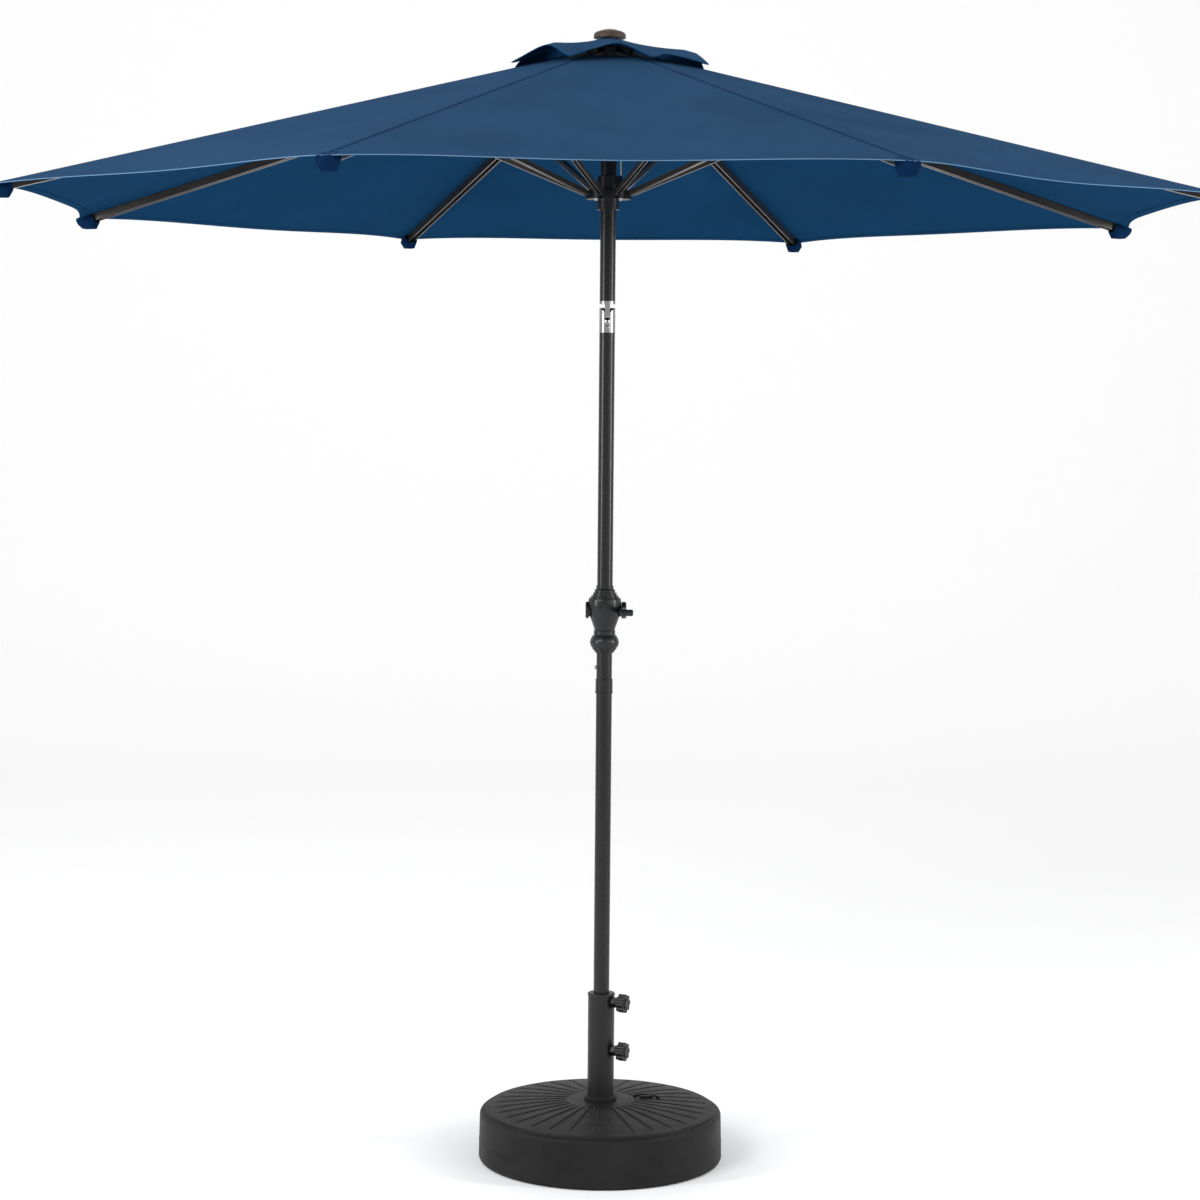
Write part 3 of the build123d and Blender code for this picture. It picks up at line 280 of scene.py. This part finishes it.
# bright metal that paints the highlight lines along the lower edges of the coated channels
LIP_PAINTED_HIGHLIGHT = metal("rolled_lip_painted_highlight", (0.3, 0.29, 0.28), 0.3)
CHROME = metal("chrome", (0.29, 0.29, 0.29), 0.17)
ZINC = metal("zinc", (0.5, 0.5, 0.51), 0.38)
RUBBER = plastic("rubber", (0.01, 0.01, 0.01), 0.75)
FINIAL_PLASTIC = plastic("finial_plastic", (0.05, 0.032, 0.02), 0.42)
CORD = Recipe("cord", (0.55, 0.54, 0.5), 0.8)
CORD.bump(CORD.wave(900.0, "DIAGONAL"), 0.0004, 0.6)
CORD.vary_color(CORD.noise(200.0), 0.8, 1.1)
CORD = CORD.material

RIB_COUNT = sum(name.startswith("rib_") for name in frame["nodes"])
RIB_NUMBERS = range(1, RIB_COUNT + 1)

NODE_MATERIALS = {
    POLE_COAT: ["lower_pole", "middle_pole", "upper_pole"],
    TUBE_COAT: ["base_tube"],
    FRAME_COAT: [f"{kind}_{k}" for kind in ("rib", "strut") for k in RIB_NUMBERS],
    BASE_PLASTIC: ["base_shell", "fill_plug", "foot_ring"],
    KNOB_PLASTIC: ["upper_clamp_knob", "lower_clamp_knob", "tube_cap"],
    DARK_PLASTIC: [
        "pole_ferrule",
        "crank_housing_front",
        "crank_housing_back",
        "crank_side_cap",
        "crank_arm",
        "crank_knob",
        "cord_spool",
        "cord_pulley",
        "top_hub",
        "runner",
    ],
    CHROME: ["tilt_lower_joint", "tilt_upper_joint", "tilt_pin", "tilt_button", "snap_button"],
    ZINC: [
        "foot_bolt",
        "pole_joiner",
        "snap_spring",
        "tilt_spring",
        "crank_shaft",
        "housing_screws",
        "hub_pins",
    ],
    RUBBER: ["fill_plug_seal"],
    FINIAL_PLASTIC: ["finial"],
}
for finish, names in NODE_MATERIALS.items():
    for name in names:
        data = frame["nodes"][name].data
        data.materials.clear()
        data.materials.append(finish)


# ---------------------------------------------------------------- mesh helpers
def piece(name, verts, faces, materials, body, smooth=True):
    """A mesh object that rides on a body, or on none yet where body is None."""
    mesh = bpy.data.meshes.new(name)
    mesh.from_pydata(verts, [], faces)
    mesh.validate()
    mesh.update()
    for finish in materials:
        mesh.materials.append(finish)
    for face in mesh.polygons:
        face.use_smooth = smooth
    made = bpy.data.objects.new(name, mesh)
    bpy.context.scene.collection.objects.link(made)
    if body:
        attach(made, body)
    return made


def grid_faces(rows, columns):
    """Quads of a grid of rows by columns of points, numbered row by row."""
    faces = []
    for i in range(rows - 1):
        for j in range(columns - 1):
            a = i * columns + j
            faces.append((a, a + 1, a + columns + 1, a + columns))
    return faces


def thicken(made, thickness, inner_material=0, offset=0.0):
    """Give a sheet its thickness; the inner side takes the material that many slots on."""
    solid = made.modifiers.new("thickness", "SOLIDIFY")
    solid.thickness = thickness
    solid.offset = offset
    solid.material_offset = inner_material
    solid.material_offset_rim = 0
    # the cut edges are sharp, so that two gores that meet shade as one cloth
    uses = {}
    for face in made.data.polygons:
        for key in face.edge_keys:
            uses[key] = uses.get(key, 0) + 1
    for edge in made.data.edges:
        edge.use_edge_sharp = uses[edge.key] == 1
    return solid


# ---------------------------------------------------------------- canopy
SECTOR = 2 * pi / RIB_COUNT
HALF = SECTOR / 2
CLOTH_THICK = 0.0008
gore_low, gore_high = (Vector(corner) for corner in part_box("canopy_gore_1"))
TIP_RADIUS = gore_high.x / cos(HALF)
VENT_HOLE = gore_low.x / (cos(HALF) * cos(SECTOR))
SLOPE = (gore_high.z - CLOTH_THICK - gore_low.z) / (TIP_RADIUS - VENT_HOLE)
APEX_Z = gore_low.z + SLOPE * TIP_RADIUS
FALL = atan(SLOPE / cos(HALF))
HEM_SAG = 0.050
PANEL_SAG = 0.008
HEM_DROP = 0.008
RIPPLE = 0.0025            # height of the slow waves along a panel
RIPPLE_TURNS = 9.0         # radians of wave from the vent hole to the hem
RIPPLE_SHIFT = 1.7         # radians by which each panel's waves are shifted


def rib_turn(k):
    """The direction of rib k, from +X."""
    return (k - 0.5) * SECTOR


def canopy_point(k, along, across):
    """A point of gore k: along is 0 at the vent hole and 1 at the hem, across is -1 to 1."""
    side = 1 if across >= 0 else -1
    away = abs(across)
    inner_along = VENT_HOLE * cos(HALF)
    inner_across = VENT_HOLE * sin(HALF) * (1 - away)
    hem_across = TIP_RADIUS * sin(HALF) * (1 - away)
    hem_along = TIP_RADIUS * cos(HALF) - HEM_SAG * cos(FALL) * (1 - (1 - away) ** 2)
    u = inner_along + (hem_along - inner_along) * along
    v = inner_across + (hem_across - inner_across) * along
    middle = rib_turn(k) + side * HALF
    z = APEX_Z - u * tan(FALL)
    # the stretched cloth hangs a little between the ribs
    belly = sin(away * pi / 2) ** 2
    z -= belly * (PANEL_SAG * along * (1.15 - 0.6 * along) + HEM_DROP * along**4)
    panel = k if side > 0 else (k - 2) % RIB_COUNT + 1
    z -= RIPPLE * belly * sin(along * RIPPLE_TURNS + panel * RIPPLE_SHIFT) * along
    x = u * cos(middle) + side * v * sin(middle)
    y = u * sin(middle) - side * v * cos(middle)
    return Vector((x, y, z))


HEM_WIDTH = 0.018
HEM_THICK = 0.0012
HEM_ROWS = 3
EDGE_STEPS = 48
ROWS, COLUMNS = 46, 33
gore_length = (TIP_RADIUS - VENT_HOLE) * hypot(1, SLOPE)


def edge_highlight_roll(name, line, k):
    """The thin rolled fold of cloth that stands just proud of an edge, coloured much lighter than
    the cloth as a painted highlight along the hem.
    """
    turn = rib_turn(k)
    out, up = Vector((cos(turn), sin(turn), 0)), Vector((0, 0, 1))
    profile = [(-0.0022, 0.0002), (-0.0010, 0.0011), (0.0008, 0.0008), (0.0012, -0.0006)]
    verts = [point + out * far + up * high for point in line for far, high in profile]
    highlight_roll = piece(name, verts, grid_faces(len(line), len(profile)), [CLOTH_EDGE_HIGHLIGHT], f"rib_{k}")
    return highlight_roll


def canopy_gore(k):
    """The cloth that hangs on rib k, from the middle of one panel to the middle of the next."""
    verts = []
    for i in range(ROWS):
        for j in range(COLUMNS):
            verts.append(canopy_point(k, i / (ROWS - 1), 2 * j / (COLUMNS - 1) - 1))
    faces = grid_faces(ROWS, COLUMNS)
    # the grid's faces look down, so the first material is the underside's, whose deeper blue is
    # painted light shining through the cloth
    gore = piece(f"cloth_gore_{k}", verts, faces, [CLOTH_IN_PAINTED_LIGHT, CLOTH_OUT], f"rib_{k}")
    thicken(gore, CLOTH_THICK, 1, -1.0)
    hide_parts(f"canopy_gore_{k}")
    # the hem is a second layer turned under the edge
    hem_verts = []
    down = Vector((0, 0, -CLOTH_THICK - 0.0004))
    share = HEM_WIDTH / gore_length
    for i in range(HEM_ROWS):
        for j in range(COLUMNS):
            along = 1 - share * (1 - i / (HEM_ROWS - 1))
            hem_verts.append(canopy_point(k, along, 2 * j / (COLUMNS - 1) - 1) + down)
    hem = piece(f"cloth_hem_{k}", hem_verts, grid_faces(HEM_ROWS, COLUMNS), [CLOTH_IN_PAINTED_LIGHT], f"rib_{k}")
    thicken(hem, HEM_THICK, 0, -1.0)
    hem_line = [canopy_point(k, 1, 2 * j / EDGE_STEPS - 1) for j in range(EDGE_STEPS + 1)]
    # the light strip along the hem is a painted highlight
    edge = edge_highlight_roll(f"cloth_edge_highlight_{k}", hem_line, k)
    for part in (gore, hem, edge):
        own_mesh(part)
    return gore


SEAM_HALF = 0.0055
SEAM_LIFT = 0.0011
SEAM_STEPS = 60


def seam(k):
    """The flat raised seam that runs over rib k, darker than the cloth as painted shade along the
    rib.
    """
    turn = rib_turn(k)
    across = Vector((-sin(turn), cos(turn), 0))
    verts = []
    flat_half = SEAM_HALF * 0.8
    profile = [
        (-SEAM_HALF, 0.0),
        (-flat_half, SEAM_LIFT),
        (flat_half, SEAM_LIFT),
        (SEAM_HALF, 0.0),
    ]
    for i in range(SEAM_STEPS + 1):
        centre = canopy_point(k, i / SEAM_STEPS, 0.0)
        for side, up in profile:
            verts.append(centre + across * side + Vector((0, 0, up - abs(side) * 0.1)))
    strip = piece(
        f"seam_{k}", verts, grid_faces(SEAM_STEPS + 1, len(profile)), [CLOTH_TRIM_PAINTED_SHADE], f"rib_{k}"
    )


# ---------------------------------------------------------------- pockets at the rib tips
# the pocket's folds, from its mouth to its closed end: position along the rib, depth
# below the cloth, and half its width at the cloth, halfway down and at the bottom
POCKET_FOLDS = [
    (-0.042, 0.019, 0.0125, 0.0150, 0.0105),
    (-0.031, 0.031, 0.0135, 0.0170, 0.0095),
    (-0.007, 0.025, 0.0130, 0.0165, 0.0090),
    (0.004, 0.012, 0.0090, 0.0100, 0.0065),
]
POCKET_MIDDLE = 0.45       # how far down the pocket its fold lies
POCKET_THICK = 0.0011


def tip_pocket(k):
    """The folded envelope of cloth that the end of rib k sits in, darker than the cloth as painted
    shade under the rib tip.
    """
    turn = rib_turn(k)
    out = Vector((cos(turn), sin(turn), -SLOPE)).normalized()
    across = Vector((-sin(turn), cos(turn), 0))
    up = out.cross(across)
    end = Vector((TIP_RADIUS * cos(turn), TIP_RADIUS * sin(turn), APEX_Z - SLOPE * TIP_RADIUS))
    end -= up * 0.0012
    verts = []
    for along, depth, top, middle, bottom in POCKET_FOLDS:
        for side, level in (
            (-top, 0.0),
            (-middle, POCKET_MIDDLE),
            (-bottom, 1.0),
            (bottom, 1.0),
            (middle, POCKET_MIDDLE),
            (top, 0.0),
        ):
            verts.append(end + out * along + across * side - up * depth * level)
    ring = 6
    faces = []
    for i in range(len(POCKET_FOLDS) - 1):
        for j in range(ring):
            a, b = i * ring + j, i * ring + (j + 1) % ring
            faces.append((a, b, b + ring, a + ring))
    last = (len(POCKET_FOLDS) - 1) * ring
    faces.append(tuple(range(last, last + ring)))
    pocket = piece(f"tip_pocket_{k}", verts, faces, [CLOTH_TRIM_PAINTED_SHADE], f"rib_{k}", smooth=False)
    thicken(pocket, POCKET_THICK, 0, 1.0)
    soften = pocket.modifiers.new("soften", "BEVEL")
    soften.width = 0.0005
    soften.segments = 1


for k in RIB_NUMBERS:
    canopy_gore(k)
    seam(k)
    tip_pocket(k)

# ---------------------------------------------------------------- vent cap
vent_high = Vector(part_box("vent_canopy")[1])
VENT_RADIUS = vent_high.x / cos(HALF)
VENT_CENTRE_Z = vent_high.z - 0.001
VENT_EYE = 0.02            # radius of the hole under the finial
VENT_SPREAD = 0.03         # how far the corners reach past the CAD's cap
VENT_TUCK = 0.19           # how far the middle of a panel's edge is drawn in
VENT_STAND = 0.011         # how high the corners stand off the canopy
VENT_SEAM_DIP = 0.005
VENT_CURL = 0.006
VENT_CURL_START = 0.85
VENT_HEM_START = 0.93
VENT_ROWS, VENT_COLUMNS = 22, 29
dice = random.Random(4)
# how high each panel of the slack cap stands up at its edge, and how far it leans
arch_height = [dice.uniform(0.026, 0.040) for _ in RIB_NUMBERS]
arch_lean = [dice.uniform(-0.12, 0.12) for _ in RIB_NUMBERS]
arch_height[4:7] = [0.038, 0.036, 0.020]
arch_lean[4:7] = [0.05, -0.10, 0.12]


def vent_point(k, along, across):
    """A point of the vent cap on rib k: along is 0 at the middle and 1 at its free edge."""
    side = 1 if across >= 0 else -1
    away = abs(across)
    panel = (k - 1 + (0 if side > 0 else -1)) % RIB_COUNT
    # where the point is across its panel, from one rib to the next
    share = away / 2 if side > 0 else 1 - away / 2
    share += arch_lean[panel] * sin(pi * share) ** 2
    arch = sin(pi * share) ** 1.2
    turn = rib_turn(k) + across * HALF
    edge = VENT_RADIUS * (1 + VENT_SPREAD - VENT_TUCK * arch)
    radius = VENT_EYE + (edge - VENT_EYE) * along
    corner = APEX_Z - SLOPE * VENT_RADIUS + VENT_STAND
    straight = VENT_CENTRE_Z + (corner - VENT_CENTRE_Z) * along
    # the seams hang a little below a straight line, the panels stand above it
    seam_dip = VENT_SEAM_DIP * sin(pi * along) * (1 - arch)
    bulge = arch_height[panel] * arch * along**1.5
    curl = VENT_CURL * arch * max(along - VENT_CURL_START, 0) / (1 - VENT_CURL_START)
    cone = APEX_Z - SLOPE * radius * cos(HALF * (1 - away)) / cos(HALF)
    level = max(straight - seam_dip + bulge - curl, cone + 2.5 * CLOTH_THICK)
    return Vector((radius * cos(turn), radius * sin(turn), level))


def vent_gore(k):
    """The part of the vent cap that hangs on rib k."""
    verts = []
    for i in range(VENT_ROWS):
        for j in range(VENT_COLUMNS):
            verts.append(
                vent_point(k, i / (VENT_ROWS - 1), 2 * j / (VENT_COLUMNS - 1) - 1)
            )
    # the underside's deeper blue is painted light shining through the cloth
    gore = piece(
        f"vent_gore_{k}",
        verts,
        grid_faces(VENT_ROWS, VENT_COLUMNS),
        [CLOTH_IN_PAINTED_LIGHT, CLOTH_OUT],
        f"rib_{k}",
    )
    thicken(gore, CLOTH_THICK, 1, -1.0)
    hem_verts = []
    for i in range(HEM_ROWS):
        along = VENT_HEM_START + (1 - VENT_HEM_START) * i / (HEM_ROWS - 1)
        for j in range(VENT_COLUMNS):
            point = vent_point(k, along, 2 * j / (VENT_COLUMNS - 1) - 1)
            hem_verts.append(point + Vector((0, 0, -CLOTH_THICK - 0.0003)))
    hem = piece(
        f"vent_hem_{k}", hem_verts, grid_faces(HEM_ROWS, VENT_COLUMNS), [CLOTH_IN_PAINTED_LIGHT], f"rib_{k}"
    )
    thicken(hem, HEM_THICK, 0, -1.0)
    for part in (gore, hem):
        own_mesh(part)
    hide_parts("vent_canopy")


for k in RIB_NUMBERS:
    vent_gore(k)


# ---------------------------------------------------------------- base
PARTING_HEIGHT = 0.042
PARTING_STEPS = 240
PARTING_SINK = 0.0008      # how far the ridge is set into the wall


def parting_line():
    """The fine ridge that the mould left round the wall of the base."""
    low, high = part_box("base_shell")
    radius = (high[0] - low[0]) / 2 - PARTING_SINK
    profile = [(-0.0004, -0.0011), (0.0007, -0.0004), (0.0007, 0.0004), (-0.0004, 0.0011)]
    verts = []
    for i in range(PARTING_STEPS):
        angle = 2 * pi * i / PARTING_STEPS
        for proud, up in profile:
            reach = radius + proud
            verts.append((reach * cos(angle), reach * sin(angle), PARTING_HEIGHT + up))
    faces = []
    for i in range(PARTING_STEPS):
        for j in range(len(profile) - 1):
            a, b = i * len(profile) + j, (i + 1) % PARTING_STEPS * len(profile) + j
            faces.append((a, b, b + 1, a + 1))
    ridge = piece("base_parting_line", verts, faces, [BASE_PLASTIC], "base")


parting_line()

# ---------------------------------------------------------------- rolled lips of the channels, in bright metal as a painted highlight
LIP_RADIUS = 0.0011


def rolled_lips(name, body, turn, start, end, half):
    """The two rolled lower edges of a rib or strut, between (radius, height) pairs, in a bright
    metal that paints the highlight along them.
    """
    ring = 8
    outward = Vector((cos(turn), sin(turn), 0))
    across = Vector((-sin(turn), cos(turn), 0))
    ends = [outward * radius + Vector((0, 0, height)) for radius, height in (start, end)]
    normal = (ends[1] - ends[0]).normalized().cross(across)
    verts, faces = [], []
    for side in (-1, 1):
        first = len(verts)
        for end_point in ends:
            centre = end_point + across * (half - LIP_RADIUS * 0.6) * side
            for j in range(ring):
                angle = 2 * pi * j / ring
                verts.append(centre + (across * cos(angle) + normal * sin(angle)) * LIP_RADIUS)
        for j in range(ring):
            a, b = first + j, first + (j + 1) % ring
            faces.append((a, b, b + ring, a + ring))
        faces.append(tuple(range(first, first + ring))[::-1])
        faces.append(tuple(range(first + ring, first + 2 * ring)))
    lips = piece(name, verts, faces, [LIP_PAINTED_HIGHLIGHT], body)


joints = {joint["name"]: joint for joint in frame["record"]["behaviour"]["joints"]}


def pivot(joint):
    """The (radius, height) of a joint's own point."""
    x, y, z = joints[joint]["pos_m"]
    return (hypot(x, y), z)


RIB_PIVOT = pivot("rib_fold_1")
# the strut's lower pin is the loop's open pivot, so it isn't a joint of the record
RUNNER_PIVOT = (0.040, 2.065)
RIB_SLOPE = radians(14.5)
STRUT_SLOPE = radians(22.21)
RIB_LIP_DEPTH = 0.010      # of the rib's lower edge under its pivot
STRUT_LIP_DEPTH = 0.005
RIB_LIP_SPAN = (0.006, 1.288)
STRUT_LIP_SPAN = (0.014, 0.466)
RIB_LIP_HALF = 0.0075
STRUT_LIP_HALF = 0.005
rib_low = (
    RIB_PIVOT[0] - RIB_LIP_DEPTH * sin(RIB_SLOPE),
    RIB_PIVOT[1] - RIB_LIP_DEPTH * cos(RIB_SLOPE),
)
strut_low = (
    RUNNER_PIVOT[0] + STRUT_LIP_DEPTH * sin(STRUT_SLOPE),
    RUNNER_PIVOT[1] - STRUT_LIP_DEPTH * cos(STRUT_SLOPE),
)


def along_slope(point, distance, slope):
    """The (radius, height) that lies a distance up or down a slope from a point."""
    return (point[0] + distance * cos(slope), point[1] + distance * sin(slope))


for k in RIB_NUMBERS:
    rolled_lips(
        f"rib_lips_{k}",
        f"rib_{k}",
        rib_turn(k),
        along_slope(rib_low, RIB_LIP_SPAN[0], -RIB_SLOPE),
        along_slope(rib_low, RIB_LIP_SPAN[1], -RIB_SLOPE),
        RIB_LIP_HALF,
    )
    rolled_lips(
        f"strut_lips_{k}",
        f"strut_{k}",
        rib_turn(k),
        along_slope(strut_low, STRUT_LIP_SPAN[0], STRUT_SLOPE),
        along_slope(strut_low, STRUT_LIP_SPAN[1], STRUT_SLOPE),
        STRUT_LIP_HALF,
    )


# ---------------------------------------------------------------- lift cord
def smooth_line(route):
    """The points of the smooth line that a route's points control."""
    curve = bpy.data.curves.new("route", "CURVE")
    curve.dimensions = "3D"
    spline = curve.splines.new("NURBS")
    spline.points.add(len(route) - 1)
    for point, place in zip(spline.points, route):
        point.co = (*place, 1)
    spline.order_u = 3
    spline.use_endpoint_u = True
    spline.resolution_u = 24
    guide = bpy.data.objects.new("route", curve)
    bpy.context.scene.collection.objects.link(guide)
    bpy.context.view_layer.update()
    mesh = bpy.data.meshes.new_from_object(guide)
    line = [vert.co.copy() for vert in mesh.vertices]
    bpy.data.objects.remove(guide)
    bpy.data.curves.remove(curve)
    bpy.data.meshes.remove(mesh)
    return line


def cord_tube(name, line, body=None):
    """A round braided cord along a line."""
    ring = 10
    verts = []
    for i, point in enumerate(line):
        ahead = line[min(i + 1, len(line) - 1)] - line[max(i - 1, 0)]
        side = ahead.cross(Vector((0, 1, 0))).normalized()
        other = ahead.cross(side).normalized()
        for j in range(ring):
            angle = 2 * pi * j / ring
            verts.append(point + (side * cos(angle) + other * sin(angle)) * CORD_RADIUS)
    faces = []
    for i in range(len(line) - 1):
        for j in range(ring):
            a, b = i * ring + j, i * ring + (j + 1) % ring
            faces.append((a, b, b + ring, a + ring))
    faces.append(tuple(range(ring))[::-1])
    faces.append(tuple(range(len(verts) - ring, len(verts))))
    made = piece(name, verts, faces, [CORD], body)
    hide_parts("lift_cord")
    return made


pulley_z = joints["pulley_turn"]["pos_m"][2]
CORD_RADIUS = 0.0015
PULLEY_WRAP = 0.008        # the cord lies on the pulley down to this far under its pin
CORD_ROUTE = [
    (0, 0.0115, 1.187),
    (0, 0.0115, 1.89),
    (0.004, 0, 2.325),
    (0.004, 0, 2.361),
    (0.022, 0, 2.361),
    (0.022, 0, 2.318),
    (0.026, 0, 2.107),
    (0.026, 0, 2.095),
]
cord_line = smooth_line(CORD_ROUTE)
on_pulley = [i for i, point in enumerate(cord_line) if point.z > pulley_z - PULLEY_WRAP]
first, last = on_pulley[0], on_pulley[-1]
cord_tube("cord_over_pulley", cord_line[first : last + 1], "head")
outer = cord_tube("cord_outside", cord_line[last:])
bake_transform(outer)
inner = cord_tube("cord_inside", cord_line[: first + 1])
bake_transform(inner)
